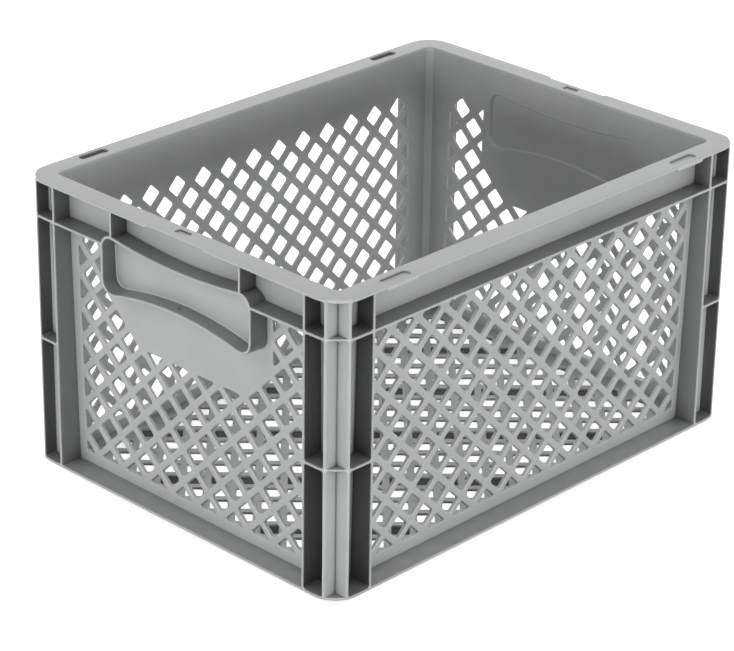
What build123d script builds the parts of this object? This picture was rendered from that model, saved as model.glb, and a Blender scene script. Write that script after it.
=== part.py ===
from build123d import *
import math
import os

os.makedirs("parts", exist_ok=True)

# Overall size, millimetres
length = 400.0
width = 300.0
height = 220.0
corner_radius = 20.0

# Base: stacking foot, ledge above it, lattice floor inside
foot_height = 7.5
ledge_thick = 2.0
floor_thick = 2.2
floor_rise = 1.2

# Walls: distance from the outer edge down to the wall face, at the base and at the rim
recess_base = 17.6
recess_rim = 13.7
wall_thick = 2.4
inner_radius = 4.0

# Ribs, corner posts and top band
rib_thick = 2.0
post_long = 33.2
post_short = 31.0
corner_rib = 12.2
post_core = 17.3
band_drop = 26.5

# Lattice: distance between openings in a row, side of an opening, plain borders
pitch = 24.85
opening = 13.0
lattice_base = 8.2
lattice_side = 5.0

# Rim flange with its recesses
flange_thick = 2.0
slot_length = 24.0
slot_width = 6.5
slot_depth = 2.8
slot_from_corner = 57.5
slot_from_edge = 6.8
pad_drop = 2.0
pad_margin = 10.0
pad_width = 12.0
tab_length = 12.0
tab_width = 5.5
tab_from_edge = 9.2
tab_margin = 2.0
edge_notch_length = 50.0
edge_notch_depth = 2.4

# Grip pocket in the short walls, heights below the rim
grip_half = 71.0
grip_radius = 9.0
grip_top_drop = 25.0
grip_top_sag = 5.9
grip_low_drop = 54.75
grip_low_rise = 10.2
grip_depth = 12.0
strut_from_side = 9.5
field_margin = 6.0
field_rows = 3
drain_length = 5.0
drain_width = 3.0
drain_from_edge = 6.0

# Worked-out heights
ledge_top = foot_height + ledge_thick
floor_top = ledge_top + floor_rise
floor_low = floor_top - floor_thick
rim_low = height - flange_thick
band_top = height - band_drop
band_low = band_top - rib_thick
mid_top = (ledge_top + band_top + rib_thick) / 2
mid_low = mid_top - rib_thick
grip_top = height - grip_top_drop
grip_low = height - grip_low_drop
grip_middle = (grip_top + grip_low) / 2

# Worked-out places
inside_base = recess_base + wall_thick
inside_rim = recess_rim + wall_thick
floor_length = length - 2 * inside_base
floor_width = width - 2 * inside_base
foot_length = length - 2 * recess_base
foot_width = width - 2 * recess_base
foot_radius = inner_radius + wall_thick
mitre = (length - width) / 2
strut_at = grip_half - strut_from_side
reach = inside_base + wall_thick

# Worked-out lattice: odd rows hold the middle column, even rows lie half a pitch beside it
half = pitch / 2
spacing = pitch / math.sqrt(2)
bar = spacing - opening
lattice_low = ledge_top + lattice_base
rows = int((band_low - lattice_low) / half - opening / pitch)
long_columns = int((length / 2 - post_long - lattice_side) / half)
short_columns = int((width / 2 - post_short - lattice_side) / half)
lattice_height = (rows + 1) * half
lattice_middle = lattice_low + lattice_height / 2

# Plain field under the grip follows the lattice's own lines
field_row = int((grip_low - grip_low_rise - lattice_low) / half) - field_rows
field_low = lattice_low + field_row * half
field_half = grip_half + field_margin
field_foot = half * (int(field_half / pitch) * 2 - 2)
field_shoulder = field_low + field_half - field_foot

# Plans of one long and one short side, parted on the corner diagonals
front_plan = [
    (-length / 2, -width / 2),
    (length / 2, -width / 2),
    (mitre, 0),
    (-mitre, 0),
]
left_plan = [
    (-length / 2, -width / 2),
    (-mitre, 0),
    (-length / 2, width / 2),
]
left_face = Plane(origin=(0, 0, 0), x_dir=(0, -1, 0), z_dir=(-1, 0, 0))
left_edge = left_face.offset(length / 2)


def save(piece, node):
    """Label a sub-part with its node name and write its file."""
    piece.label = node
    export_step(piece, f"parts/{node}.step")


def save_mirrored(piece, node, *planes):
    """Write the sub-part's copy mirrored in each plane in turn."""
    with BuildPart() as copy:
        add(piece)
        for plane in planes:
            mirror(about=plane, mode=Mode.REPLACE)
    save(copy.part, node)


def drafted_block(inset, edge_radius):
    """Block bounded by the leaning wall faces, moved inward by the inset."""
    base_x = length / 2 - recess_base - inset
    base_y = width / 2 - recess_base - inset
    rim_x = length / 2 - recess_rim - inset
    rim_y = width / 2 - recess_rim - inset
    with BuildPart() as block:
        with BuildSketch(Plane.YZ):
            Polygon(
                (-base_y, ledge_top),
                (base_y, ledge_top),
                (rim_y, rim_low),
                (-rim_y, rim_low),
                align=None,
            )
        extrude(amount=length, both=True)
        with BuildSketch(Plane.XZ):
            Polygon(
                (-base_x, ledge_top),
                (base_x, ledge_top),
                (rim_x, rim_low),
                (-rim_x, rim_low),
                align=None,
            )
        extrude(amount=width, both=True, mode=Mode.INTERSECT)
        if edge_radius > 0:
            fillet(block.edges().sort_by(Axis.Z)[4:8], radius=edge_radius)
    return block.part


def lattice_sites(columns):
    """Centres of the lattice openings of a wall with this many half columns each side."""
    return [
        (column * half, lattice_low + row * half)
        for row in range(rows + 1)
        for column in range(-columns, columns + 1)
        if (row + column) % 2 == 1
    ]


# Working bodies: all inside the wall faces, and the ring of the four walls
core = drafted_block(0, 0)
with BuildPart() as wall_ring:
    add(core)
    add(drafted_block(wall_thick, inner_radius), mode=Mode.SUBTRACT)

# Outline of the grip's rib, middle line, then both of its sides
with BuildSketch() as grip_outline:
    with BuildLine():
        ThreePointArc(
            (-grip_half, grip_top + grip_top_sag),
            (0, grip_top),
            (grip_half, grip_top + grip_top_sag),
        )
        Line((grip_half, grip_top + grip_top_sag), (grip_half, grip_low - grip_low_rise))
        ThreePointArc(
            (grip_half, grip_low - grip_low_rise),
            (0, grip_low),
            (-grip_half, grip_low - grip_low_rise),
        )
        Line((-grip_half, grip_low - grip_low_rise), (-grip_half, grip_top + grip_top_sag))
    make_face()
    fillet(grip_outline.vertices(), radius=grip_radius)
with BuildSketch() as grip_outer:
    add(grip_outline.sketch_local)
    offset(amount=rib_thick / 2, kind=Kind.ARC, mode=Mode.REPLACE)
with BuildSketch() as grip_inner:
    add(grip_outline.sketch_local)
    offset(amount=-rib_thick / 2, kind=Kind.ARC, mode=Mode.REPLACE)

# Outline of the shallow recess that the grip leaves on the wall's inner face
with BuildSketch() as grip_recess:
    add(grip_inner.sketch_local)
    offset(amount=-wall_thick, kind=Kind.ARC, mode=Mode.REPLACE)

# Floor: the lattice's bars at double spacing
floor_columns = int((floor_length / 2 - opening - bar) / pitch)
floor_rows = int((floor_width / 2 - opening - bar) / pitch)
floor_opening = 2 * spacing - bar
floor_holes = [
    (column * pitch, row * pitch)
    for column in range(-floor_columns, floor_columns + 1)
    for row in range(-floor_rows, floor_rows + 1)
    if (column + row) % 2 == 1
]
with BuildPart() as floor:
    with BuildSketch(Plane.XY.offset(floor_low)):
        RectangleRounded(floor_length, floor_width, inner_radius)
        with Locations(*floor_holes):
            Rectangle(floor_opening, floor_opening, rotation=45, mode=Mode.SUBTRACT)
    extrude(amount=floor_thick)
save(floor.part, "floor")

# Stacking foot under the walls, which drops into the rim of the crate below
for side, plan, plane in (("front", front_plan, Plane.XZ), ("left", left_plan, Plane.YZ)):
    with BuildPart() as foot:
        with BuildSketch():
            RectangleRounded(foot_length, foot_width, foot_radius)
            RectangleRounded(floor_length, floor_width, inner_radius, mode=Mode.SUBTRACT)
            Polygon(*plan, align=None, mode=Mode.INTERSECT)
        extrude(amount=ledge_top)
    opposite = "rear" if side == "front" else "right"
    save(foot.part, f"foot_{side}")
    save_mirrored(foot.part, f"foot_{opposite}", plane)

# Ledge round the foot, which comes to rest on that rim
for side, plan, plane in (("front", front_plan, Plane.XZ), ("left", left_plan, Plane.YZ)):
    with BuildPart() as ledge:
        with BuildSketch(Plane.XY.offset(foot_height)):
            RectangleRounded(length, width, corner_radius)
            RectangleRounded(foot_length, foot_width, foot_radius, mode=Mode.SUBTRACT)
            Polygon(*plan, align=None, mode=Mode.INTERSECT)
        extrude(amount=ledge_thick)
    opposite = "rear" if side == "front" else "right"
    save(ledge.part, f"ledge_{side}")
    save_mirrored(ledge.part, f"ledge_{opposite}", plane)

# Long walls: lattice below, plain band above
with BuildPart() as wall_front:
    add(wall_ring.part)
    with BuildSketch():
        Polygon(*front_plan, align=None)
    extrude(amount=height, mode=Mode.INTERSECT)
    with BuildSketch(Plane.XZ):
        with Locations(*lattice_sites(long_columns)):
            Rectangle(opening, opening, rotation=45)
        with Locations((0, lattice_middle)):
            Rectangle(long_columns * pitch, lattice_height, mode=Mode.INTERSECT)
    extrude(amount=width / 2, mode=Mode.SUBTRACT)
save(wall_front.part, "wall_front")
save_mirrored(wall_front.part, "wall_rear", Plane.XZ)

# Short walls: the back of the grip stands out of the plain field, with lattice round it
with BuildPart() as wall_ring_left:
    add(wall_ring.part)
    with BuildSketch():
        Polygon(*left_plan, align=None)
    extrude(amount=height, mode=Mode.INTERSECT)
with BuildPart() as wall_left:
    with BuildSketch(left_edge.offset(-grip_depth)):
        add(grip_inner.sketch_local)
    extrude(amount=-reach)
    add(core, mode=Mode.SUBTRACT)
    add(wall_ring_left.part)
    with BuildSketch(left_face):
        with Locations(*lattice_sites(short_columns)):
            Rectangle(opening, opening, rotation=45)
        with Locations((0, lattice_middle)):
            Rectangle(short_columns * pitch, lattice_height, mode=Mode.INTERSECT)
        Polygon(
            (-field_half, rim_low),
            (-field_half, field_shoulder),
            (-field_foot, field_low),
            (field_foot, field_low),
            (field_half, field_shoulder),
            (field_half, rim_low),
            align=None,
            mode=Mode.SUBTRACT,
        )
    extrude(amount=length / 2, mode=Mode.SUBTRACT)
    with BuildSketch(left_edge.offset(-grip_depth - wall_thick)):
        add(grip_recess.sketch_local)
    extrude(amount=-reach, mode=Mode.SUBTRACT)
save(wall_left.part, "wall_left")
save_mirrored(wall_left.part, "wall_right", Plane.YZ)

# Corner posts: side ribs, an L of corner ribs, and pockets between the cross ribs
corner = Plane(origin=(length / 2, width / 2, 0), x_dir=(-1, 0, 0), z_dir=(0, 0, 1))
rib_near = corner_rib - rib_thick / 2
rib_far = corner_rib + rib_thick / 2
long_pocket = post_long - rib_thick
short_pocket = post_short - rib_thick
cells = ((ledge_top, mid_low), (mid_top, band_low), (band_top, rim_low))
with BuildPart() as post:
    with BuildSketch(corner.offset(ledge_top)) as block_plan:
        Rectangle(post_long, post_short, align=(Align.MIN, Align.MIN))
        fillet(block_plan.vertices().sort_by_distance((0, 0, 0))[0], radius=corner_radius)
    extrude(amount=rim_low - ledge_top)
    add(core, mode=Mode.SUBTRACT)
    for cell_low, cell_high in cells:
        with BuildSketch(corner.offset(cell_low)):
            Rectangle(rib_near, rib_near, align=(Align.MIN, Align.MIN))
            Polygon(
                (rib_far, 0),
                (long_pocket, 0),
                (long_pocket, reach),
                (post_core, reach),
                (post_core, rib_near),
                (rib_far, rib_near),
                align=None,
            )
            Polygon(
                (0, rib_far),
                (0, short_pocket),
                (reach, short_pocket),
                (reach, post_core),
                (rib_near, post_core),
                (rib_near, rib_far),
                align=None,
            )
        extrude(amount=cell_high - cell_low, mode=Mode.SUBTRACT)
save(post.part, "post_rear_right")
save_mirrored(post.part, "post_rear_left", Plane.YZ)
save_mirrored(post.part, "post_front_right", Plane.XZ)
save_mirrored(post.part, "post_front_left", Plane.XZ, Plane.YZ)

# Band rib along the long walls
with BuildPart() as band_front:
    with BuildSketch(Plane.XY.offset(band_low)):
        with Locations((0, -width / 2)):
            Rectangle(length - 2 * post_long, reach, align=(Align.CENTER, Align.MIN))
    extrude(amount=rib_thick)
    add(core, mode=Mode.SUBTRACT)
save(band_front.part, "band_front")
save_mirrored(band_front.part, "band_rear", Plane.XZ)

# Band rib beside the grip
with BuildPart() as band_left_front:
    with BuildSketch(left_edge):
        with Locations((strut_at, band_low)):
            Rectangle(
                width / 2 - post_short - strut_at,
                rib_thick,
                align=(Align.MIN, Align.MIN),
            )
        add(grip_outer.sketch_local, mode=Mode.SUBTRACT)
    extrude(amount=-reach)
    add(core, mode=Mode.SUBTRACT)
save(band_left_front.part, "band_left_front")
save_mirrored(band_left_front.part, "band_left_rear", Plane.XZ)
save_mirrored(band_left_front.part, "band_right_front", Plane.YZ)
save_mirrored(band_left_front.part, "band_right_rear", Plane.XZ, Plane.YZ)

# Upright strut between the grip and the rim
with BuildPart() as strut:
    with BuildSketch(left_edge):
        with Locations((strut_at, grip_middle)):
            Rectangle(rib_thick, rim_low - grip_middle, align=(Align.CENTER, Align.MIN))
        add(grip_outer.sketch_local, mode=Mode.SUBTRACT)
    extrude(amount=-reach)
    add(core, mode=Mode.SUBTRACT)
save(strut.part, "strut_left_front")
save_mirrored(strut.part, "strut_left_rear", Plane.XZ)
save_mirrored(strut.part, "strut_right_front", Plane.YZ)
save_mirrored(strut.part, "strut_right_rear", Plane.XZ, Plane.YZ)

# Grip: raised rib round the pocket, with a drain hole through its lower run
with BuildPart() as grip_frame:
    with BuildSketch(left_edge):
        add(grip_outer.sketch_local)
        add(grip_inner.sketch_local, mode=Mode.SUBTRACT)
    extrude(amount=-reach)
    add(core, mode=Mode.SUBTRACT)
    with BuildSketch(Plane.XY.offset(grip_middle)):
        with Locations((-length / 2 + drain_from_edge, 0)):
            Rectangle(drain_width, drain_length)
    extrude(amount=grip_low - grip_low_rise - grip_middle, mode=Mode.SUBTRACT)
save(grip_frame.part, "grip_frame_left")
save_mirrored(grip_frame.part, "grip_frame_right", Plane.YZ)

# Rim on the long sides: flange, thicker pads under it, recesses in its top
slot_x = length / 2 - slot_from_corner
slot_y = width / 2 - slot_from_edge
slot_places = [(-slot_x, -slot_y), (slot_x, -slot_y)]
pad_x = length / 2 - post_long
pad_length = pad_x - slot_x + slot_length / 2 + pad_margin
with BuildPart() as rim_front:
    with BuildSketch(Plane.XY.offset(rim_low)):
        RectangleRounded(length, width, corner_radius)
        RectangleRounded(
            length - 2 * inside_rim,
            width - 2 * inside_rim,
            inner_radius,
            mode=Mode.SUBTRACT,
        )
        Polygon(*front_plan, align=None, mode=Mode.INTERSECT)
    extrude(amount=flange_thick)
    with BuildSketch(Plane.XY.offset(rim_low)):
        with Locations((-pad_x, -width / 2)):
            Rectangle(pad_length, pad_width, align=(Align.MIN, Align.MIN))
        with Locations((pad_x, -width / 2)):
            Rectangle(pad_length, pad_width, align=(Align.MAX, Align.MIN))
    extrude(amount=-pad_drop)
    with BuildSketch(Plane.XY.offset(height)):
        with Locations(*slot_places):
            Rectangle(slot_length, slot_width)
    extrude(amount=-slot_depth, mode=Mode.SUBTRACT)
save(rim_front.part, "rim_front")
save_mirrored(rim_front.part, "rim_rear", Plane.XZ)

# Rim on the short sides: flange set back at its middle, one small recess
notch_half = edge_notch_length / 2
tab_x = -length / 2 + tab_from_edge
with BuildPart() as rim_left:
    with BuildSketch(Plane.XY.offset(rim_low)):
        RectangleRounded(length, width, corner_radius)
        RectangleRounded(
            length - 2 * inside_rim,
            width - 2 * inside_rim,
            inner_radius,
            mode=Mode.SUBTRACT,
        )
        Polygon(*left_plan, align=None, mode=Mode.INTERSECT)
        Polygon(
            (-length / 2, -notch_half - edge_notch_depth),
            (-length / 2 + edge_notch_depth, -notch_half),
            (-length / 2 + edge_notch_depth, notch_half),
            (-length / 2, notch_half + edge_notch_depth),
            align=None,
            mode=Mode.SUBTRACT,
        )
    extrude(amount=flange_thick)
    with BuildSketch(Plane.XY.offset(rim_low)):
        with Locations((tab_x, 0)):
            Rectangle(tab_width + tab_margin, tab_length + tab_margin)
    extrude(amount=-pad_drop)
    with BuildSketch(Plane.XY.offset(height)):
        with Locations((tab_x, 0)):
            Rectangle(tab_width, tab_length)
    extrude(amount=-slot_depth, mode=Mode.SUBTRACT)
save(rim_left.part, "rim_left")
save_mirrored(rim_left.part, "rim_right", Plane.YZ)
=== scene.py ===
import logging
import math
from dataclasses import dataclass, field
from enum import Enum
from functools import partial
from typing import Callable, Sequence

import bmesh
import bpy
import numpy as np
from bpy.types import ID, Material, Node, NodeSocket, NodeTree, Object, World
from mathutils import Matrix, Vector
from mathutils.geometry import delaunay_2d_cdt


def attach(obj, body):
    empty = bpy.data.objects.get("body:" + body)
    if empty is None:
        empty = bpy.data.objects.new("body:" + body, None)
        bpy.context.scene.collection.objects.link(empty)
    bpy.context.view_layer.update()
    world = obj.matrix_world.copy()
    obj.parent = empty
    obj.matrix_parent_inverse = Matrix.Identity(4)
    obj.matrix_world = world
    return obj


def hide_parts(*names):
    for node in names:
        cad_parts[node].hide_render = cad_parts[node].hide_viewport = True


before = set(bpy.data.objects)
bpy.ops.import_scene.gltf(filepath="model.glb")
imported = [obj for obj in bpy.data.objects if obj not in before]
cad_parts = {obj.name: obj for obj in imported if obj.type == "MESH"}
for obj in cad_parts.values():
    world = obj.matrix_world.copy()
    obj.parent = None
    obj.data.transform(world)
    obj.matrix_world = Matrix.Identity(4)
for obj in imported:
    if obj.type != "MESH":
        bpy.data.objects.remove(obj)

Array = np.ndarray
Numbers = Sequence[float] | Array
LOG = logging.getLogger("stacking_crate")
MM = 0.001
BODY = "root"
FLAT = 0.0
SOFT = 0.5
SHARP = (FLAT, FLAT)
CDT_INSIDE = 1
CDT_EPSILON = 1e-6
SHARP_ANGLE = math.radians(60.0)
WELD = 1e-7
FACE_WEIGHT = 100
WHITE = (1.0, 1.0, 1.0, 1.0)


class Side(Enum):
    """The four sides, each with the turn in degrees that carries the front to it."""

    FRONT = 0.0
    REAR = 180.0
    LEFT = -90.0
    RIGHT = 90.0


class Corner(Enum):
    """The four corners, each with the signs of its x and y."""

    FRONT_LEFT = (-1, -1)
    FRONT_RIGHT = (1, -1)
    REAR_LEFT = (-1, 1)
    REAR_RIGHT = (1, 1)


def linear(code: str) -> tuple[float, float, float, float]:
    """Turn an sRGB hex colour into linear red, green, blue and full alpha.

    Args:
        code: six hex digits after a hash sign.

    Returns:
        The linear colour with an alpha of one.
    """
    # The numbers are those of the sRGB transfer curve.
    digits = code.lstrip("#")
    srgb = np.array([int(digits[i:i + 2], 16) for i in (0, 2, 4)]) / 255.0
    low = srgb / 12.92
    high = ((srgb + 0.055) / 1.055) ** 2.4
    red, green, blue = np.where(srgb <= 0.04045, low, high)
    return float(red), float(green), float(blue), 1.0


def add_node(tree: NodeTree, kind: str, settings: dict | None = None, links: dict | None = None) -> Node:
    """Add one shader node, set its values and link its inputs.

    Args:
        tree: the node tree that gets the node.
        kind: Blender's type name of the node.
        settings: property or input names and their values.
        links: input names or numbers and the output sockets that feed them.

    Returns:
        The new node.
    """
    node = tree.nodes.new(kind)
    for name, value in (settings or {}).items():
        if name in node.inputs:
            node.inputs[name].default_value = value
        else:
            setattr(node, name, value)
    for name, source in (links or {}).items():
        tree.links.new(source, node.inputs[name])
    return node


def fresh_nodes(owner: Material | World) -> Callable[..., Node]:
    """Clear the nodes of a material or a world, and return the function that adds new ones to it."""
    owner.use_nodes = True
    owner.node_tree.nodes.clear()
    return partial(add_node, owner.node_tree)


def add_object(name: str, data: ID) -> Object:
    """Make an object and link it to the scene."""
    made = bpy.data.objects.new(name, data)
    bpy.context.scene.collection.objects.link(made)
    return made


@dataclass(frozen=True)
class MouldedPolypropylene:
    """Injection moulded polypropylene in mid grey.

    The eye gets an even, slightly waxy grey with a satin gloss, a faint cloudiness where
    the melt flowed, and the fine grain of a spark-eroded mould.
    """

    name: str = "moulded polypropylene"
    colour: str = "#acaead"
    ior: float = 1.49
    roughness: float = 0.33
    roughness_swing: float = 0.045
    flow_colour: str = "#a5a7a6"
    flow_mm: float = 45.0
    flow_detail: float = 3.0
    flow_roughness: float = 0.55
    flow_span: tuple[float, float] = (0.3, 0.7)
    # Painted shade, darker in deep recesses and corners.
    shade_mm: float = 34.0
    shade_samples: int = 8
    shade_span: tuple[float, float] = (0.1, 0.65)
    shade_least: float = 0.12
    # Painted highlight, paler on convex edges.
    edge_mm: float = 1.2
    edge_samples: int = 6
    edge_span: tuple[float, float] = (0.5, 0.95)
    edge_most: float = 1.3
    grain_mm: float = 0.9
    grain_detail: float = 2.0
    grain_height_mm: float = 0.02
    grain_strength: float = 0.35

    def build(self) -> Material:
        """Make the material from flow clouds in the colour, painted shade in recesses and painted
        highlights on edges, and grain in the gloss and bump.
        """
        material = bpy.data.materials.new(self.name)
        node = fresh_nodes(material)
        where = node("ShaderNodeTexCoord").outputs["Object"]
        flow = node(
            "ShaderNodeTexNoise",
            {
                "Scale": 1 / (self.flow_mm * MM),
                "Detail": self.flow_detail,
                "Roughness": self.flow_roughness,
            },
            {"Vector": where},
        )
        clouds = node("ShaderNodeValToRGB", links={"Fac": flow.outputs["Fac"]})
        stops = zip(clouds.color_ramp.elements, self.flow_span, (self.flow_colour, self.colour))
        for stop, position, colour in stops:
            stop.position = position
            stop.color = linear(colour)
        # Painted shade: the colour is darkened in deep recesses and corners, where little light reaches.
        hollow = node(
            "ShaderNodeAmbientOcclusion",
            {"Distance": self.shade_mm * MM, "samples": self.shade_samples},
        )
        first, last = self.shade_span
        shade = node(
            "ShaderNodeMapRange",
            {"From Min": first, "From Max": last, "To Min": self.shade_least},
            {"Value": hollow.outputs["AO"]},
        )
        # Painted highlight: convex edges are made paler, standing in for the light that rounded edges
        # catch.
        corner = node(
            "ShaderNodeAmbientOcclusion",
            {
                "Distance": self.edge_mm * MM,
                "samples": self.edge_samples,
                "inside": True,
                "only_local": True,
            },
        )
        first, last = self.edge_span
        edge_highlight = node(
            "ShaderNodeMapRange",
            {"From Min": first, "From Max": last, "To Min": self.edge_most},
            {"Value": corner.outputs["AO"]},
        )
        # Painted shade and painted highlight together scale the colour.
        strength = node(
            "ShaderNodeMath",
            {"operation": "MULTIPLY"},
            {0: shade.outputs["Result"], 1: edge_highlight.outputs["Result"]},
        )
        shaded = node(
            "ShaderNodeVectorMath",
            {"operation": "SCALE"},
            {"Vector": clouds.outputs["Color"], "Scale": strength.outputs["Value"]},
        )
        # The real grain is about a third as wide, too fine to show at this distance.
        grain = node(
            "ShaderNodeTexNoise",
            {"Scale": 1 / (self.grain_mm * MM), "Detail": self.grain_detail},
            {"Vector": where},
        )
        gloss = node(
            "ShaderNodeMapRange",
            {
                "To Min": self.roughness - self.roughness_swing,
                "To Max": self.roughness + self.roughness_swing,
            },
            {"Value": flow.outputs["Fac"]},
        )
        bump = node(
            "ShaderNodeBump",
            {"Strength": self.grain_strength, "Distance": self.grain_height_mm * MM},
            {"Height": grain.outputs["Fac"]},
        )
        shader = node(
            "ShaderNodeBsdfPrincipled",
            {"IOR": self.ior},
            {
                "Base Color": shaded.outputs["Vector"],
                "Roughness": gloss.outputs["Result"],
                "Normal": bump.outputs["Normal"],
            },
        )
        node("ShaderNodeOutputMaterial", links={"Surface": shader.outputs["BSDF"]})
        return material


def unit(vectors: Array) -> Array:
    """The same directions, one long."""
    return vectors / np.linalg.norm(vectors, axis=-1, keepdims=True)


def arcs_at(corners: Array, before: Array, after: Array, radius: float | Array, steps: int) -> Array:
    """Arcs that round polygon corners.

    Each arc touches both sides of its corner: its centre lies on the corner's bisector, and the
    tangent length is the radius over the tangent of half the angle.

    Args:
        corners: the corners as (count, corners, 2).
        before: a point on the side that leads to each corner.
        after: a point on the side that leaves each corner.
        radius: one radius, or one for each corner.
        steps: points on each arc.

    Returns:
        The arcs as (count, corners, steps, 2).
    """
    back = unit(before - corners)
    ahead = unit(after - corners)
    cosine = np.clip(np.sum(back * ahead, axis=2, keepdims=True), -1, 1)
    half_angle = np.arccos(cosine) / 2
    size = np.broadcast_to(np.asarray(radius, float), corners.shape[:2])[..., None]
    centre = corners + unit(back + ahead) * size / np.sin(half_angle)
    first = corners + back * size / np.tan(half_angle) - centre
    last = corners + ahead * size / np.tan(half_angle) - centre
    share = np.linspace(0, 1, steps)[None, None, :, None]
    swing = (np.pi - 2 * half_angle)[:, :, None, :]
    turn = np.sin((1 - share) * swing) * first[:, :, None] + np.sin(share * swing) * last[:, :, None]
    return centre[:, :, None] + turn / np.sin(swing)


def soften(corners: Array, radius: float | Array, steps: int) -> Array:
    """Round all the corners of polygons.

    Args:
        corners: polygons as (count, corners, 2), counter-clockwise.
        radius: one radius, or one for each corner.
        steps: points on each arc.

    Returns:
        The rounded polygons as (count, corners * steps, 2).
    """
    before = np.roll(corners, 1, axis=1)
    after = np.roll(corners, -1, axis=1)
    return arcs_at(corners, before, after, radius, steps).reshape(len(corners), -1, 2)


def inset(loops: Array, amount: float) -> Array:
    """Move closed loops to their left by an amount, each point along its mitre.

    The left of a loop wound counter-clockwise is its inside. The mitre is the sum of the normals
    of the two sides that meet in the point, made long enough to keep both sides parallel.

    Args:
        loops: loops as (count, points, 2).
        amount: the distance, which is negative to move right.

    Returns:
        The moved loops.
    """
    side = unit(np.roll(loops, -1, axis=1) - loops)
    left = np.stack((-side[..., 1], side[..., 0]), axis=2)
    mitre = left + np.roll(left, 1, axis=1)
    mitre = 2 * mitre / np.sum(mitre * mitre, axis=2, keepdims=True)
    return loops + amount * mitre


def box(low: Numbers, high: Numbers) -> Array:
    """Corners of an upright rectangle, counter-clockwise, as (1, 4, 2)."""
    (left, bottom), (right, top) = low, high
    return np.array([[(left, bottom), (right, bottom), (right, top), (left, top)]], float)


def edge_rows(radius: float, steps: int) -> Array:
    """Rows of a rounded edge as (inset, depth): a quarter circle from the face to the side."""
    if radius <= 0:
        return np.zeros((1, 2))
    angle = np.linspace(0, np.pi / 2, steps)
    return radius * np.stack((1 - np.sin(angle), 1 - np.cos(angle)), axis=1)


@dataclass
class Plate:
    """A plate with an outline, openings and softened edges, in its own frame, millimetres.

    The face lies at depth zero and the back at the plate's thickness. A profile of rows, each an
    inset and a depth, is carried round the outline and round every opening, and the face and the
    back are filled between them. A pair of edges is the one at the face and the one at the back.
    """

    outline: Array
    thickness: float
    openings: list[Array] = field(default_factory=list)
    hollows: list[Array] = field(default_factory=list)
    hollow_edge: float = 2.2
    recesses: list[Array] = field(default_factory=list)
    recess_depth: float = 0.0
    edges: tuple[float, float] = (SOFT, SOFT)
    opening_edges: tuple[float, float] = (SOFT, SOFT)
    opening_draft: float = 0.0
    edge_steps: int = 3
    opening_steps: int = 2
    face_rows: Array | None = None
    bend: Callable[[Array], Array] | None = None

    def rows(self, face: float, back: float, depth: float, steps: int) -> Array:
        """Profile from the face to the back: face edge, straight side, back edge."""
        upper = edge_rows(face, steps)
        lower = edge_rows(back, steps)[::-1] * (1, -1) + (0, depth)
        return np.concatenate((upper, lower))

    def fill(self, loops: list[Array]) -> Array:
        """Triangles between an outline and the openings in it.

        Args:
            loops: arrays of loops, the outline first, in the order of their points.

        Returns:
            Triangles as (count, 3) indices into all the loops' points in order.
        """
        points = np.concatenate([group.reshape(-1, 2) for group in loops])
        outlines = []
        for group in loops:
            count, size = group.shape[:2]
            start = sum(len(outline) for outline in outlines)
            outlines += (start + np.arange(count * size).reshape(count, size)).tolist()
        result = delaunay_2d_cdt(points.tolist(), [], outlines, CDT_INSIDE, CDT_EPSILON)
        origin = np.array([ids[0] for ids in result[3]])
        solid = np.array([len(ids) == 1 for ids in result[5]])
        return origin[np.array(result[2])[solid]]

    def arrays(self) -> tuple[Array, list[Array]]:
        """Points as (count, 3) in u, v, depth, and groups of faces as (count, corners)."""
        outer = self.rows(*self.edges, self.thickness, self.edge_steps)
        if self.face_rows is not None:
            outer = np.concatenate((self.face_rows, outer[-1:]))
        pierced = self.rows(*self.opening_edges, self.thickness, self.opening_steps)
        pierced[:, 0] -= self.opening_draft * pierced[:, 1] / self.thickness
        smooth = self.rows(FLAT, self.hollow_edge, self.thickness, 2 * self.edge_steps)
        sunk = self.rows(self.opening_edges[0], FLAT, self.recess_depth, self.opening_steps)
        groups = [(self.outline, outer, 1.0, False)]
        groups += [(loops, pierced, -1.0, False) for loops in self.openings]
        groups += [(loops, smooth, -1.0, False) for loops in self.hollows]
        groups += [(loops, sunk, -1.0, True) for loops in self.recesses]
        points, faces, face_loops, back_loops, face_ids, back_ids = [], [], [], [], [], []
        start = 0
        for loops, rows, sense, blind in groups:
            count, size = loops.shape[:2]
            layer = np.stack([
                np.dstack((inset(loops, sense * away), np.full((count, size), deep)))
                for away, deep in rows
            ])
            index = start + np.arange(layer.size // 3).reshape(layer.shape[:3])
            here, below = index[:-1], index[1:]
            quads = np.stack(
                (here, below, np.roll(below, -1, axis=2), np.roll(here, -1, axis=2)), axis=-1
            )
            faces.append(quads.reshape(-1, 4))
            points.append(layer.reshape(-1, 3))
            face_loops.append(layer[0, :, :, :2])
            face_ids.append(index[0].ravel())
            if blind:
                faces.append(index[-1])
            else:
                back_loops.append(layer[-1, :, :, :2])
                back_ids.append(index[-1].ravel())
            start += layer.size // 3
        faces.append(np.concatenate(face_ids)[self.fill(face_loops)])
        faces.append(np.concatenate(back_ids)[self.fill(back_loops)])
        flat = np.concatenate(points)
        return (flat if self.bend is None else self.bend(flat)), faces


def place(origin: Numbers, u: Numbers, v: Numbers, depth: Numbers) -> Array:
    """Matrix that carries a plate's u, v and depth into the crate's frame, as (4, 4)."""
    matrix = np.identity(4)
    matrix[:3] = np.stack((u, v, depth, origin), axis=1)
    return matrix


def level(top: float) -> Array:
    """Place of a plate that lies flat with its face at this height."""
    return place((0, 0, top), (1, 0, 0), (0, 1, 0), (0, 0, -1))


def spun(degrees: float) -> Array:
    """Turn about the upright axis."""
    return np.array(Matrix.Rotation(math.radians(degrees), 4, "Z"))


def mirrored(x: int, y: int) -> Array:
    """Mirror in the middle planes where a sign is negative."""
    return np.diag((float(x), float(y), 1.0, 1.0))


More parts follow.
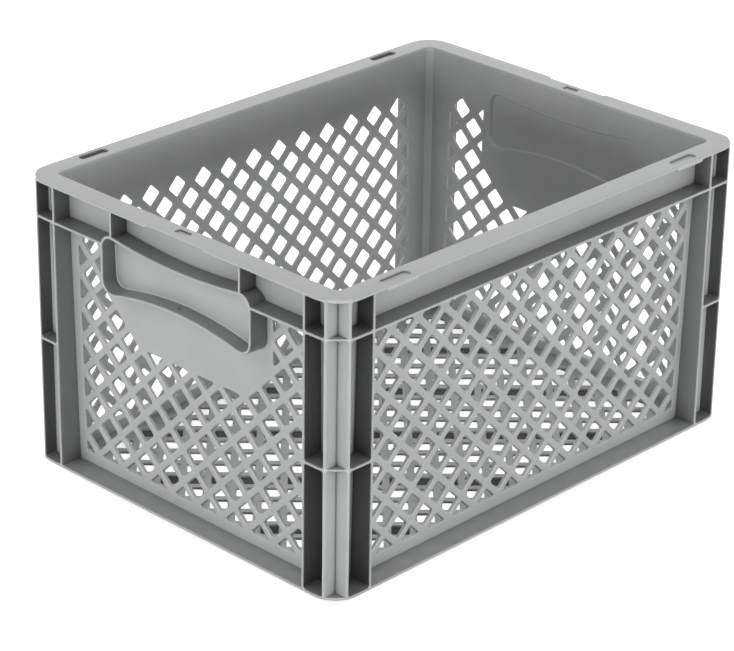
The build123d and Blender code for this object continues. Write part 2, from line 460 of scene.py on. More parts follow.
@dataclass
class Piece:
    """One visible piece of the moulding, made of plates that run into each other."""

    name: str
    nodes: Sequence[str]
    plates: list[tuple[Plate, Array]] = field(default_factory=list)
    holes: list[tuple[Array, Array]] = field(default_factory=list)

    def add(self, plate: Plate, matrix: Array) -> None:
        """Add a plate with its place."""
        self.plates.append((plate, matrix))

    def pierce(self, piece: Object) -> None:
        """Cut the box-shaped holes for good and drop the boxes that cut them."""
        for low, high in self.holes:
            work = bmesh.new()
            middle = Matrix.Translation(Vector((low + high) / 2 * MM))
            reach = Matrix.Diagonal((*((high - low) * MM), 1.0))
            bmesh.ops.create_cube(work, size=1.0, matrix=middle @ reach)
            block = bpy.data.meshes.new("hole")
            work.to_mesh(block)
            work.free()
            cut = piece.modifiers.new("hole", "BOOLEAN")
            cut.object = add_object("hole", block)
            whole = piece.data
            graph = bpy.context.evaluated_depsgraph_get()
            piece.data = bpy.data.meshes.new_from_object(piece.evaluated_get(graph))
            piece.modifiers.remove(cut)
            bpy.data.meshes.remove(whole)
            bpy.data.meshes.remove(block)

    def build(self, material: Material) -> None:
        """Make the mesh object, dress it and put it in the place of its CAD nodes.

        Args:
            material: the finish of the whole piece.
        """
        points, sizes, corners = [], [], []
        start = 0
        for plate, matrix in self.plates:
            local, faces = plate.arrays()
            world = local @ matrix[:3, :3].T + matrix[:3, 3]
            points.append(world * MM)
            sizes += [np.full(len(group), group.shape[1]) for group in faces]
            corners += [(group + start).ravel() for group in faces]
            start += len(local)
        vertices = np.concatenate(points)
        totals = np.concatenate(sizes)
        starts = np.cumsum(totals) - totals
        loops = np.concatenate(corners)
        mesh = bpy.data.meshes.new(self.name)
        mesh.vertices.add(len(vertices))
        mesh.vertices.foreach_set("co", vertices.astype(np.float32).ravel())
        mesh.loops.add(len(loops))
        mesh.loops.foreach_set("vertex_index", loops.astype(np.int32))
        mesh.polygons.add(len(totals))
        mesh.polygons.foreach_set("loop_start", starts.astype(np.int32))
        mesh.update(calc_edges=True)
        mesh.validate()
        work = bmesh.new()
        work.from_mesh(mesh)
        bmesh.ops.remove_doubles(work, verts=work.verts, dist=WELD)
        bmesh.ops.recalc_face_normals(work, faces=work.faces)
        work.to_mesh(mesh)
        work.free()
        piece = add_object(self.name, mesh)
        self.pierce(piece)
        mesh = piece.data
        mesh.polygons.foreach_set("use_smooth", np.ones(len(mesh.polygons), bool))
        mesh.set_sharp_from_angle(angle=SHARP_ANGLE)
        mesh.materials.append(material)
        weighted = piece.modifiers.new("even face normals", "WEIGHTED_NORMAL")
        weighted.weight = FACE_WEIGHT
        weighted.keep_sharp = True
        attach(piece, BODY)
        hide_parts(*self.nodes)
        LOG.info("%s: %d faces for %s", self.name, len(mesh.polygons), ", ".join(self.nodes))


@dataclass
class Shell:
    """Sizes that the whole moulding shares, in millimetres, as in the CAD model."""

    length: float = 400.0
    width: float = 300.0
    height: float = 220.0
    corner_radius: float = 20.0
    ledge_low: float = 7.5
    ledge_top: float = 9.5
    floor_top: float = 10.7
    floor_thick: float = 2.2
    recess_base: float = 17.6
    recess_rim: float = 13.7
    wall_thick: float = 2.4
    wall_below: float = 0.5
    wall_above: float = 1.0
    inner_radius: float = 4.0
    inner_steps: int = 6
    rib: float = 2.0
    rim_low: float = 218.0
    band_low: float = 191.5
    mid_low: float = 100.5
    post_long: float = 33.2
    post_short: float = 31.0
    root: float = 1.2

    @property
    def lean(self) -> float:
        """How far a wall leans outward for each millimetre of height."""
        return (self.recess_base - self.recess_rim) / (self.rim_low - self.ledge_top)

    def recess(self, z: float) -> float:
        """Distance from the outer edge to a wall's outer face at a height."""
        return self.recess_base - self.lean * (z - self.ledge_top)

    def rooted(self, z: float) -> float:
        """Distance from the outer edge to where a rib ends inside the wall at a height."""
        return self.recess(z) + self.root

    def wall_outline(self, half_length: float) -> Array:
        """Outline of a wall that ends inside the ledge, the rim and the walls beside it."""
        low, high = self.ledge_top - self.wall_below, self.rim_low + self.wall_above
        foot, head = half_length - self.rooted(low), half_length - self.rooted(high)
        return np.array([[(-foot, low), (foot, low), (head, high), (-head, high)]])

    def wall(self, half_depth: float) -> Array:
        """Place of a leaning front wall: u along it, v the height, depth inward."""
        start = -half_depth + self.recess(0.0)
        return place((0, start, 0), (1, 0, 0), (0, -self.lean, 1), (0, 1, 0))

    def upright(self, half_depth: float) -> Array:
        """Place of an upright plate on the front's outer edge."""
        return place((0, -half_depth, 0), (1, 0, 0), (0, 0, 1), (0, 1, 0))

    def across(self, half_depth: float, at: float) -> Array:
        """Place of an upright rib that runs inward: u inward, v the height, depth along the wall."""
        return place((at, -half_depth, 0), (0, 1, 0), (0, 0, 1), (1, 0, 0))

    def ring(self, away: float, radius: float, steps: int) -> Array:
        """Rounded rectangle at a distance inside the outer edge, counter-clockwise."""
        x, y = self.length / 2 - away, self.width / 2 - away
        return soften(box((-x, -y), (x, y)), radius, steps)


@dataclass
class Lattice:
    """The square lattice of openings that stand on their corners."""

    pitch: float = 24.85
    opening: float = 13.0
    corner: float = 1.8
    cut_corner: float = 1.0
    edges: tuple[float, float] = (0.7, 0.6)
    draft: float = 0.75
    rows: int = 13
    low: float = 17.7
    arc_steps: int = 3
    edge_steps: int = 3

    @property
    def half(self) -> float:
        """Half the distance between openings in a row."""
        return self.pitch / 2

    @property
    def reach(self) -> float:
        """Distance from an opening's middle to its corners."""
        return self.opening / math.sqrt(2)

    def sites(self, columns: int, first_row: int, last_row: int) -> Array:
        """Column and row numbers of the openings, which are those with an odd sum, as (count, 2)."""
        grid = np.mgrid[-columns:columns + 1, first_row:last_row + 1].reshape(2, -1).T
        return grid[(grid.sum(axis=1) % 2) == 1]

    def wall_sites(self, columns: int) -> tuple[Array, Array]:
        """Column and row numbers of a wall's openings, and their middles in u and height."""
        sites = self.sites(columns, 0, self.rows)
        return sites, sites * self.half + (0, self.low)

    def full(self, centres: Array) -> Array:
        """Whole openings: the centre plus the four corner steps, with rounded corners."""
        steps = self.reach * np.array([(1, 0), (0, 1), (-1, 0), (0, -1)])
        return soften(centres[:, None] + steps, self.corner, self.arc_steps)

    def cut(self, centres: Array, way: tuple[int, int], at: float = 0.0) -> Array:
        """Openings cut off by a straight side, which leaves the triangle on one side of it.

        Args:
            centres: the openings' middles as (count, 2).
            way: unit step from the straight side into the opening.
            at: distance of the straight side from the middle, along that step.

        Returns:
            The rounded triangles.
        """
        way_u, way_v = way
        forward = np.array((way_u, way_v), float)
        beside = np.array((-way_v, way_u), float)
        base = self.reach - at
        foot = forward * at
        steps = np.array([forward * self.reach, foot + beside * base, foot - beside * base])
        return soften(centres[:, None] + steps, self.cut_corner, self.arc_steps)

    def openings(self, columns: int, plain: Array | bool = False) -> list[Array]:
        """Openings of a wall: whole ones inside, halves on the bottom and side borders.

        Args:
            columns: half columns on each side of the middle.
            plain: which sites inside the borders stay closed.

        Returns:
            Groups of opening loops in u and height.
        """
        sites, centres = self.wall_sites(columns)
        column, row = sites.T
        within = np.abs(column) < columns
        above = row > 0
        return [
            self.full(centres[within & above & np.logical_not(plain)]),
            self.cut(centres[within & ~above], (0, 1)),
            self.cut(centres[(column == -columns) & above], (1, 0)),
            self.cut(centres[(column == columns) & above], (-1, 0)),
        ]

    def quarters(self, columns: int) -> list[Array]:
        """Quarter openings in a wall's lower corners, which open upward and towards the middle."""
        steps = self.reach * np.array([(0, 0), (1, 0), (0, 1)])
        made = []
        for way in (1, -1):
            loop = steps * (way, 1) + (-way * columns * self.half, self.low)
            made.append(soften(loop[None, ::way], self.cut_corner, self.arc_steps))
        return made

    def wall(self, outline: Array, thickness: float, openings: list[Array]) -> Plate:
        """A pierced wall, whose own edges stay sharp inside the pieces round it."""
        return Plate(
            outline,
            thickness,
            openings=openings,
            edges=SHARP,
            opening_edges=self.edges,
            opening_draft=self.draft,
            opening_steps=self.edge_steps,
        )


@dataclass
class Rim:
    """Flat rim with its slots, tabs, notches and the pads that deepen it."""

    shell: Shell
    slot: tuple[float, float] = (24.0, 6.5)
    slot_corner: float = 2.2
    slot_depth: float = 2.8
    slot_from_corner: float = 57.5
    slot_from_edge: float = 6.8
    tab: tuple[float, float] = (5.5, 12.0)
    tab_corner: float = 1.0
    tab_from_edge: float = 9.2
    tab_margin: float = 2.0
    hidden_step: float = 0.3
    pad_low: float = 216.0
    pad_width: float = 12.0
    pad_margin: float = 2.5
    pad_taper: float = 2.0
    light_depth: float = 1.5
    notch_half: float = 25.0
    notch_depth: float = 2.4
    notch_corner: float = 1.0
    top_edge: float = 0.8
    outline_steps: int = 8
    slot_steps: int = 4
    tab_steps: int = 3
    edge_steps: int = 3

    @property
    def slot_x(self) -> float:
        """Distance from the middle to a slot's middle along the long side."""
        return self.shell.length / 2 - self.slot_from_corner

    @property
    def pad_reach(self) -> float:
        """Half the length of a slot's pad."""
        return self.slot[0] / 2 + self.pad_margin

    def outline(self) -> Array:
        """Outer edge: round corners, and a shallow notch in the middle of each short side."""
        x, y = self.shell.length / 2, self.shell.width / 2
        half, deep = self.notch_half, self.notch_depth
        right = [(x, -half - deep), (x - deep, -half), (x - deep, half), (x, half + deep)]
        left = [(-u, -v) for u, v in right]
        corners = [(-x, -y), (x, -y), *right, (x, y), (-x, y), *left]
        radii = [self.shell.corner_radius] * 2 + [self.notch_corner] * len(right)
        return soften(np.array([corners]), np.array(radii * 2), self.outline_steps)

    def recesses(self) -> tuple[Array, Array]:
        """Slots of the long sides and tabs of the short sides, as groups of loops."""
        slot_y = self.shell.width / 2 - self.slot_from_edge
        tab_x = self.shell.length / 2 - self.tab_from_edge
        half_slot = np.array(self.slot) / 2
        half_tab = np.array(self.tab) / 2
        slots = soften(box(-half_slot, half_slot), self.slot_corner, self.slot_steps)
        tabs = soften(box(-half_tab, half_tab), self.tab_corner, self.tab_steps)
        slot_places = box((-self.slot_x, -slot_y), (self.slot_x, slot_y))[0]
        tab_places = np.array([(-tab_x, 0), (tab_x, 0)])
        return slots + slot_places[:, None], tabs + tab_places[:, None]

    def pad(self, outline: Array, hollow: Array) -> Plate:
        """A pad under the ring that closes a recess: the ring's opening goes on a little way into it."""
        shell = self.shell
        return Plate(
            outline,
            shell.rim_low - self.pad_low,
            recesses=[inset(hollow, -self.hidden_step)],
            recess_depth=self.slot_depth - (shell.height - shell.rim_low),
            edges=(FLAT, SOFT),
            opening_edges=(FLAT, SOFT),
        )

    def plug(self, hollow: Array) -> Plate:
        """The raised floor of a recess that is shallow and shows light: the front slots and the tabs."""
        thickness = self.shell.height - self.light_depth - self.pad_low - self.hidden_step
        return Plate(inset(hollow, -self.hidden_step), thickness)

    def drawn_in(self, points: Array) -> Array:
        """Draw the ends of the front left slot's pad in towards its underside."""
        along, across, depth = points.T
        share = 1 - self.pad_taper / self.pad_reach * depth / (self.shell.rim_low - self.pad_low)
        return np.stack(((along + self.slot_x) * share - self.slot_x, across, depth), axis=1)

    def build(self, material: Material) -> None:
        """Make the rim as one ring with its pads."""
        shell = self.shell
        piece = Piece("rim", [f"rim_{side.name.lower()}" for side in Side])
        slots, tabs = self.recesses()
        inside = shell.recess_rim + shell.wall_thick
        ring = Plate(
            self.outline(),
            shell.height - shell.rim_low,
            openings=[shell.ring(inside, shell.inner_radius, shell.inner_steps), slots, tabs],
            edges=(self.top_edge, FLAT),
            opening_edges=(self.top_edge, FLAT),
            opening_steps=self.edge_steps,
        )
        piece.add(ring, level(shell.height))
        y = -shell.width / 2
        low, high = -self.slot_x - self.pad_reach, -self.slot_x + self.pad_reach
        slot_pad = self.pad(box((low, y), (high, y + self.pad_width)), slots[:1])
        slot_pad.bend = self.drawn_in
        slot_plug = self.plug(slots[:1])
        for corner in Corner:
            flip = mirrored(*corner.value) @ mirrored(-1, -1)
            piece.add(slot_pad, flip @ level(shell.rim_low))
            if corner in (Corner.FRONT_LEFT, Corner.FRONT_RIGHT):
                piece.add(slot_plug, flip @ level(shell.height - self.light_depth))
        middle = np.array((-shell.length / 2 + self.tab_from_edge, 0.0))
        reach = (np.array(self.tab) + self.tab_margin) / 2
        tab_pad = self.pad(box(middle - reach, middle + reach), tabs[:1])
        tab_plug = self.plug(tabs[:1])
        for x_sign in (1, -1):
            piece.add(tab_pad, mirrored(x_sign, 1) @ level(shell.rim_low))
            piece.add(tab_plug, mirrored(x_sign, 1) @ level(shell.height - self.light_depth))
        piece.build(material)


@dataclass
class Base:
    """Stacking foot and the ledge round it."""

    shell: Shell
    foot_edge: float = 0.8
    ledge_edge: float = 0.6
    ledge_shy: float = 0.02
    outer_steps: int = 10

    def build(self, material: Material) -> None:
        """Make the foot and the ledge as rings."""
        shell = self.shell
        outer_radius = shell.inner_radius + shell.wall_thick
        inside = shell.recess_base + shell.wall_thick
        foot = Plate(
            shell.ring(shell.recess_base, outer_radius, shell.inner_steps),
            shell.ledge_top,
            openings=[shell.ring(inside, shell.inner_radius, shell.inner_steps)],
            edges=(FLAT, self.foot_edge),
            opening_edges=(FLAT, self.foot_edge),
        )
        nodes = [f"foot_{side.name.lower()}" for side in Side]
        Piece("stacking_foot", nodes, [(foot, level(shell.ledge_top))]).build(material)
        ledge = Plate(
            shell.ring(0.0, shell.corner_radius, self.outer_steps),
            shell.ledge_top - shell.ledge_low,
            openings=[shell.ring(shell.recess_base + shell.root, outer_radius, shell.inner_steps)],
            edges=(self.ledge_edge, self.ledge_edge),
            opening_edges=SHARP,
        )
        nodes = [f"ledge_{side.name.lower()}" for side in Side]
        Piece("ledge", nodes, [(ledge, level(shell.ledge_top - self.ledge_shy))]).build(material)


@dataclass
class Floor:
    """Lattice floor with deep ribs under every fourth bar."""

    shell: Shell
    lattice: Lattice
    columns: int = 13
    rows: int = 9
    rib_low: float = 1.0
    rib_lap: float = 0.5
    rib_every: int = 4
    rib_lines: int = 2
    corner_steps: int = 4

    def ribs(self, piece: Piece) -> None:
        """Add the ribs along both diagonals, each cut to the floor's rectangle."""
        shell = self.shell
        reach = np.array((shell.length, shell.width)) / 2 - shell.recess_base - shell.root
        top = shell.floor_top - shell.floor_thick + self.rib_lap
        apart = 2 * self.rib_every * self.lattice.half
        for sense in (1, -1):
            along = np.array((1, -sense)) / math.sqrt(2)
            beside = np.array((1, sense)) / math.sqrt(2)
            for line in range(-self.rib_lines, self.rib_lines + 1):
                middle = beside * line * apart / math.sqrt(2)
                stops = np.stack(((-reach - middle) / along, (reach - middle) / along))
                first = stops.min(axis=0).max()
                last = stops.max(axis=0).min()
                rib = Plate(box((first, self.rib_low), (last, top)), shell.rib)
                start = (*(middle - beside * shell.rib / 2), 0)
                piece.add(rib, place(start, (*along, 0), (0, 0, 1), (*beside, 0)))

    def build(self, material: Material) -> None:
        """Make the pierced floor plate and its ribs."""
        shell = self.shell
        piece = Piece("lattice_floor", ["floor"])
        sites = self.lattice.sites(self.columns, -self.rows, self.rows)
        plate = Plate(
            shell.ring(shell.recess_base + shell.root, shell.inner_radius, self.corner_steps),
            shell.floor_thick,
            openings=[self.lattice.full(sites * self.lattice.half)],
            opening_draft=self.lattice.draft,
            edges=SHARP,
        )
        piece.add(plate, level(shell.floor_top))
        self.ribs(piece)
        piece.build(material)


@dataclass
class Grip:
    """Outline of the pocket grip, drawn on the short side's outer edge."""

    half: float = 71.0
    radius: float = 9.0
    top: float = 195.0
    top_sag: float = 5.9
    low: float = 165.25
    low_rise: float = 10.2
    depth: float = 12.0
    cove: float = 1.2
    tangent_step: float = 1.0
    arc_gap: float = 3.0
    arc_points: int = 13
    corner_steps: int = 7

    @property
    def middle(self) -> float:
        """Height of the grip's middle."""
        return (self.top + self.low) / 2

    def bow(self, middle: float, end: float, u: Array) -> Array:
        """Points of the circular bow through a middle height and an end height.

        The circle's radius is the half width squared plus the bow squared over twice the bow.
        """
        rise = end - middle
        radius = (self.half ** 2 + rise ** 2) / (2 * abs(rise))
        bend = radius - np.sqrt(radius ** 2 - u ** 2)
        return np.stack((u, middle + np.sign(rise) * bend), axis=1)

    def loop(self, outward: float) -> Array:
        """The grip's rounded outline, moved outward by a distance, as (1, points, 2)."""
        low_end = self.low - self.low_rise
        top_end = self.top + self.top_sag
        near = self.half - self.tangent_step
        u = np.array((-near, near))
        low_near = self.bow(self.low, low_end, u)
        top_near = self.bow(self.top, top_end, u)
        corners = box((-self.half, low_end), (self.half, top_end))[0]
        before = np.array([corners[3], low_near[1], corners[1], top_near[0]])
        after = np.array([low_near[0], corners[2], top_near[1], corners[0]])
        arcs = arcs_at(corners[None], before[None], after[None], self.radius, self.corner_steps)[0]
        run = self.half - self.radius - self.arc_gap
        u = np.linspace(-run, run, self.arc_points)
        low = self.bow(self.low, low_end, u)
        top = self.bow(self.top, top_end, u[::-1])
        loop = np.concatenate((arcs[0], low, arcs[1], arcs[2], top, arcs[3]))
        return inset(loop[None], -outward)


@dataclass
class LongWalls:
    """The two long lattice walls with their band ribs."""

    shell: Shell
    lattice: Lattice
    columns: int = 13

    def build(self, material: Material) -> None:
        """Make the front wall and turn it to the rear."""
        shell = self.shell
        half_depth = shell.width / 2
        openings = [*self.lattice.openings(self.columns), *self.lattice.quarters(self.columns)]
        outline = shell.wall_outline(shell.length / 2)
        wall = self.lattice.wall(outline, shell.wall_thick, openings)
        end = shell.length / 2 - shell.post_long + shell.root
        band_top = shell.band_low + shell.rib
        band = Plate(box((-end, -half_depth), (end, -half_depth + shell.rooted(band_top))), shell.rib)
        for side in (Side.FRONT, Side.REAR):
            name = side.name.lower()
            turn = spun(side.value)
            walls = [(wall, turn @ shell.wall(half_depth))]
            Piece(f"lattice_wall_{name}", [f"wall_{name}"], walls).build(material)
            ribs = [(band, turn @ level(band_top))]
            Piece(f"band_rib_{name}", [f"band_{name}"], ribs).build(material)


@dataclass
class ShortWalls:
    """The two short walls: lattice round a plain field, and the pocket grip in it."""

    shell: Shell
    lattice: Lattice
    grip: Grip
    columns: int = 9
    field_row: int = 8
    field_slope: int = 4
    field_columns: int = 6
    field_half: float = 77.0
    strut_at: float = 61.5
    strut_lap: float = 0.5
    hollow_step: float = -0.6
    back_lap: float = 0.3
    back_thick: float = 2.8
    cove_steps: int = 5
    ring_depth: float = 15.0
    ring_root: float = 0.8
    ring_edge: float = 0.7
    ring_steps: int = 3
    drain_from_edge: float = 6.0
    drain_size: tuple[float, float, float] = (3.0, 5.0, 8.0)

    def openings(self) -> list[Array]:
        """Openings outside the plain field, cut off straight where they meet it."""
        lattice = self.lattice
        sites, centres = lattice.wall_sites(self.columns)
        column, row = sites.T
        away = np.abs(column)
        plain = (row >= self.field_row) & (row - away > self.field_slope) & (away <= self.field_columns)
        foot = plain & (row == self.field_row)
        beside = plain & ~foot & (away == self.field_columns)
        cut = self.field_half - self.field_columns * lattice.half
        return [
            *lattice.openings(self.columns, plain),
            lattice.cut(centres[foot], (0, -1)),
            lattice.cut(centres[beside & (column < 0)], (-1, 0), cut),
            lattice.cut(centres[beside & (column > 0)], (1, 0), cut),
            *lattice.quarters(self.columns),
        ]

    def bend(self, points: Array) -> Array:
        """Stretch the grip's ring in depth, so that its back follows the leaning wall."""
        along, up, depth = points.T
        reach = self.shell.recess(up) + self.ring_root
        return np.stack((along, up, depth / self.ring_depth * reach), axis=1)

    def drain(self, x_sign: int) -> tuple[Array, Array]:
        """Low and high corner of the drain hole through the grip's lower run."""
        x = x_sign * (self.shell.length / 2 - self.drain_from_edge)
        middle = np.array((x, 0.0, self.grip.low))
        reach = np.array(self.drain_size) / 2
        return middle - reach, middle + reach

    def build(self, material: Material) -> None:
        """Make the left side's wall, grip and ribs, and turn them to the right."""
        shell, grip = self.shell, self.grip
        half_depth = shell.length / 2
        outline = shell.wall_outline(shell.width / 2)
        wall = self.lattice.wall(outline, shell.wall_thick, self.openings())
        wall.hollows.append(grip.loop(self.hollow_step))
        angle = np.linspace(0, np.pi / 2, self.cove_steps)
        cove = grip.cove * np.stack((1 - np.sin(angle), np.cos(angle) - 1), axis=1)
        back_place = shell.wall(half_depth + shell.recess(grip.middle) - grip.depth)
        pocket = grip.loop(-shell.rib / 2 + self.back_lap)
        back = Plate(pocket, self.back_thick, face_rows=cove, edges=SHARP)
        ring = Plate(
            grip.loop(shell.rib / 2),
            self.ring_depth,
            bend=self.bend,
            openings=[grip.loop(-shell.rib / 2)],
            edges=(self.ring_edge, FLAT),
            opening_edges=(self.ring_edge, FLAT),
            opening_steps=self.ring_steps,
        )
        band_top = shell.band_low + shell.rib
        post = shell.width / 2 - shell.post_short + shell.root
        band_back = -half_depth + shell.rooted(band_top)
        band = Plate(box((grip.half, -half_depth), (post, band_back)), shell.rib)
        foot = grip.bow(grip.top, grip.top + grip.top_sag, np.array([self.strut_at]))[0, 1]
        head = (shell.rooted(shell.rim_low), shell.rim_low + self.strut_lap)
        strut = Plate(box((0.0, foot), head), shell.rib)
        for side, x_sign in ((Side.LEFT, -1), (Side.RIGHT, 1)):
            name = side.name.lower()
            turn = spun(side.value)
            walls = [(wall, turn @ shell.wall(half_depth)), (back, turn @ back_place)]
            Piece(f"lattice_wall_{name}", [f"wall_{name}"], walls).build(material)
            rings = [(ring, turn @ shell.upright(half_depth))]
            holes = [self.drain(x_sign)]
            Piece(f"grip_rib_{name}", [f"grip_frame_{name}"], rings, holes).build(material)
            for end, y_sign in (("front", -1), ("rear", 1)):
                flip = turn @ mirrored(x_sign * y_sign, 1)
                ribs = [(band, flip @ level(band_top))]
                Piece(f"band_rib_{name}_{end}", [f"band_{name}_{end}"], ribs).build(material)
                struts = [(strut, flip @ shell.across(half_depth, self.strut_at - shell.rib / 2))]
                Piece(f"strut_rib_{name}_{end}", [f"strut_{name}_{end}"], struts).build(material)


@dataclass
class CornerPosts:
    """The four corner posts: two ribbed sides with three cells each, a core and the inside cove."""

    shell: Shell
    corner_rib: float = 12.2
    rib_radius: float = 17.5
    core: float = 17.3
    cell_corner: float = 1.6
    hidden: float = 1.8
    shy: float = 0.05
    lap: float = 0.4
    tuck: float = 0.3
    rib_edge: float = 0.8
    bend_columns: int = 5
    cell_steps: int = 5
    edge_steps: int = 4

    @property
    def near(self) -> float:
        """Distance from the corner to the nearer face of a corner rib."""
        return self.corner_rib - self.shell.rib / 2

    @property
    def deep(self) -> float:
        """Depth of a side before it is bent."""
        return self.shell.rooted(self.shell.rim_low)

    def set_back(self, along: Array) -> Array:
        """Distance from the side's plane to the round corner, at distances from the corner."""
        radius = self.rib_radius
        inward = np.clip(radius - along, 0, radius)
        return radius - np.sqrt(radius ** 2 - inward ** 2)

    def bend(self, points: Array) -> Array:
        """Fit a flat side to the round corner in front and the leaning wall behind.

        The depth runs evenly from the round corner's set-back to the wall's recess at each height.

        Args:
            points: the side's points as (count, 3): distance from the corner, height, depth.

        Returns:
            The fitted points.
        """
        along, up, depth = points.T
        share = depth / self.deep
        fitted = (self.set_back(along) + self.shy) * (1 - share) + self.shell.rooted(up) * share
        return np.stack((along, up, fitted), axis=1)

    def side(self, width: float) -> Plate:
        """One side of a post: upright ribs at both edges, cross ribs, and cells between them."""
        shell = self.shell
        low, high = shell.ledge_top, shell.rim_low
        first, last = self.near + shell.rib, width - shell.rib
        stops = (
            (low, shell.mid_low),
            (shell.mid_low + shell.rib, shell.band_low),
            (shell.band_low + shell.rib, high),
        )
        cells = [
            soften(box((first, bottom), (last, top)), self.cell_corner, self.cell_steps)
            for bottom, top in stops
        ]
        columns = np.linspace(self.near, shell.corner_radius, self.bend_columns)
        bottom, top = low - self.hidden, high + self.hidden
        face = [*((column, bottom) for column in columns), (width, bottom), (width, top)]
        face += [(column, top) for column in columns[::-1]]
        return Plate(
            np.array([face]),
            self.deep,
            openings=cells,
            edges=(self.rib_edge, FLAT),
            opening_edges=(self.rib_edge, FLAT),
            opening_steps=self.edge_steps,
            bend=self.bend,
        )

    def cross(self) -> Array:
        """Plan of a cross rib in the corner notch: the corner behind a straight front."""
        end = self.near + self.shell.rib / 2
        front = float(self.set_back(np.array(end))) + self.shy
        return np.array([[(front, end), (end, front), (end, end)]])

    def plates(self) -> list[tuple[Plate, Array]]:
        """Plates of the rear right post with their places."""
        shell = self.shell
        x, y = shell.length / 2, shell.width / 2
        low, high = shell.ledge_top - shell.root, shell.rim_low + shell.root
        to_left, to_front, down, up = (-1, 0, 0), (0, -1, 0), (0, 0, -1), (0, 0, 1)
        long_side = self.side(shell.post_long + self.lap)
        short_side = self.side(shell.post_short + self.lap)
        start = self.near + self.tuck
        core = Plate(box((start, start), (self.core, self.core)), high - low)
        made = [
            (long_side, place((x, y, 0), to_left, up, to_front)),
            (short_side, place((x, y, 0), to_front, up, to_left)),
            (core, place((x, y, high), to_left, to_front, down)),
        ]
        notch = Plate(self.cross(), shell.rib, edges=(self.rib_edge, self.rib_edge))
        for bottom in (shell.mid_low, shell.band_low):
            made.append((notch, place((x, y, bottom + shell.rib), to_left, to_front, down)))
        inside = shell.recess(shell.rim_low) + shell.wall_thick
        size, root = shell.inner_radius, shell.root
        cove = Plate(
            np.array([[(-root, size), (-root, -root), (size, -root), (size, 0), (0, size)]]),
            shell.rim_low - shell.ledge_top,
            edges=SHARP,
        )
        corner = (x - inside, y - inside, shell.rim_low)
        made.append((cove, place(corner, to_left, to_front, (-shell.lean, -shell.lean, -1))))
        return made

    def build(self, material: Material) -> None:
        """Make the rear right post and mirror it to the other corners."""
        plates = self.plates()
        for corner in Corner:
            name = corner.name.lower()
            turned = [(plate, mirrored(*corner.value) @ matrix) for plate, matrix in plates]
            Piece(f"corner_post_{name}", [f"post_{name}"], turned).build(material)


@dataclass(frozen=True)
class Softbox:
    """One square lamp: its name, its place and side in metres, and its power in watts."""

    name: str
    at: tuple[float, float, float]
    side: float
    power: float


SOFTBOXES = (
    Softbox("overhead_softbox", (0.5, 0.5, 2.1), 1.0, 16.0),
    Softbox("rear_softbox", (1.96, 1.89, 1.45), 2.0, 8.0),
    Softbox("front_softbox", (0.0, -2.8, 0.24), 0.5, 49.0),
    Softbox("side_softbox", (-2.8, 0.0, 0.24), 0.5, 49.0),
    Softbox("far_long_softbox", (0.0, 2.8, 0.24), 0.5, 24.0),
    Softbox("far_short_softbox", (2.8, 0.0, 0.24), 0.5, 24.0),
    Softbox("front_top_softbox", (0.3, -2.0, 1.8), 0.8, 10.0),
    Softbox("side_top_softbox", (-2.0, 0.3, 1.8), 0.8, 10.0),
)


def seen_directly(node: Callable[..., Node]) -> NodeSocket:
    """One for what is seen straight on or in a gloss, zero for all other light."""
    path = node("ShaderNodeLightPath")
    rays = {0: path.outputs["Is Camera Ray"], 1: path.outputs["Is Glossy Ray"]}
    return node("ShaderNodeMath", {"operation": "MAXIMUM"}, rays).outputs["Value"]


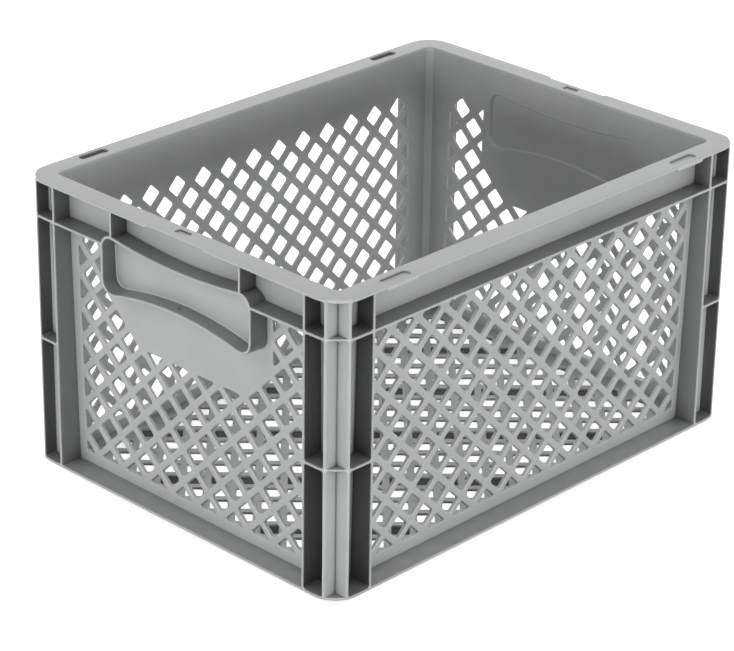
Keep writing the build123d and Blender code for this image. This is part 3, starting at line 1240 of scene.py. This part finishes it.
@dataclass
class Studio:
    """White floor, soft lamps and the camera at the photograph's place."""

    lens_mm: float = 147.062
    sensor_mm: float = 36.0
    camera_mm: tuple[float, float, float] = (-1386.23, -1317.74, 983.93)
    azimuth: float = 46.059
    elevation: float = 25.011
    roll: float = -0.876
    clip: tuple[float, float] = (0.05, 100.0)
    lamp_aim: tuple[float, float, float] = (0.0, 0.0, 0.1)
    floor_half: float = 6.0
    floor_glow: float = 0.8
    floor_colour: str = "#f2f2f2"
    floor_dull: str = "#787878"
    room_light: float = 0.15

    def camera(self) -> None:
        """Set the camera from its place, the direction it looks in and its roll."""
        data = bpy.data.cameras.new("camera")
        data.lens = self.lens_mm
        data.sensor_width = self.sensor_mm
        data.sensor_fit = "HORIZONTAL"
        data.clip_start, data.clip_end = self.clip
        azimuth, elevation, roll = np.radians((self.azimuth, self.elevation, self.roll))
        heading = Matrix.Rotation(-azimuth, 4, "Z")
        tilt = Matrix.Rotation(math.pi / 2 - elevation, 4, "X")
        turn = heading @ tilt @ Matrix.Rotation(-roll, 4, "Z")
        camera = add_object("camera", data)
        camera.matrix_world = Matrix.Translation(Vector(self.camera_mm) * MM) @ turn
        bpy.context.scene.camera = camera

    def lamp(self, softbox: Softbox) -> None:
        """Hang one softbox that faces the middle of the crate."""
        data = bpy.data.lights.new(softbox.name, "AREA")
        data.shape = "SQUARE"
        data.size = softbox.side
        data.energy = softbox.power
        lamp = add_object(softbox.name, data)
        lamp.location = softbox.at
        lamp.rotation_mode = "QUATERNION"
        facing = Vector(self.lamp_aim) - Vector(softbox.at)
        lamp.rotation_quaternion = facing.to_track_quat("-Z", "Y")

    def floor(self) -> None:
        """Lay the floor: white to the camera with the crate's shadow, dull to all other light."""
        half = self.floor_half
        corners = [(x, y, 0.0) for x, y in box((-half, -half), (half, half))[0]]
        mesh = bpy.data.meshes.new("studio_floor")
        mesh.from_pydata(corners, [], [(0, 1, 2, 3)])
        floor = add_object("studio_floor", mesh)
        material = bpy.data.materials.new("white paper sweep")
        node = fresh_nodes(material)
        lit = node("ShaderNodeBsdfDiffuse", {"Color": linear(self.floor_colour)})
        glow = node("ShaderNodeEmission", {"Color": WHITE, "Strength": self.floor_glow})
        both = {0: lit.outputs["BSDF"], 1: glow.outputs["Emission"]}
        white = node("ShaderNodeAddShader", links=both)
        dull = node("ShaderNodeBsdfDiffuse", {"Color": linear(self.floor_dull)})
        choice = {0: seen_directly(node), 1: dull.outputs["BSDF"], 2: white.outputs["Shader"]}
        mix = node("ShaderNodeMixShader", links=choice)
        node("ShaderNodeOutputMaterial", links={"Surface": mix.outputs["Shader"]})
        mesh.materials.append(material)

    def world(self) -> None:
        """Fill the room with a little even light, and show white behind the floor."""
        world = bpy.data.worlds.new("studio")
        bpy.context.scene.world = world
        node = fresh_nodes(world)
        dim = node("ShaderNodeBackground", {"Color": WHITE, "Strength": self.room_light})
        white = node("ShaderNodeBackground", {"Color": WHITE})
        choice = {0: seen_directly(node), 1: dim.outputs["Background"], 2: white.outputs["Background"]}
        mix = node("ShaderNodeMixShader", links=choice)
        node("ShaderNodeOutputWorld", links={"Surface": mix.outputs["Shader"]})

    def build(self) -> None:
        """Set the camera, floor, lamps and the world's light."""
        self.camera()
        self.floor()
        self.world()
        for softbox in SOFTBOXES:
            self.lamp(softbox)


def main() -> None:
    """Build the crate and its studio in order."""
    logging.basicConfig(level=logging.INFO, format="%(name)s: %(message)s")
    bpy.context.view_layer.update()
    bpy.context.scene.view_settings.view_transform = "Standard"
    plastic = MouldedPolypropylene().build()
    shell, lattice, grip = Shell(), Lattice(), Grip()
    Base(shell).build(plastic)
    Floor(shell, lattice).build(plastic)
    LongWalls(shell, lattice).build(plastic)
    ShortWalls(shell, lattice, grip).build(plastic)
    CornerPosts(shell).build(plastic)
    Rim(shell).build(plastic)
    Studio().build()


if __name__ == "__main__":
    main()
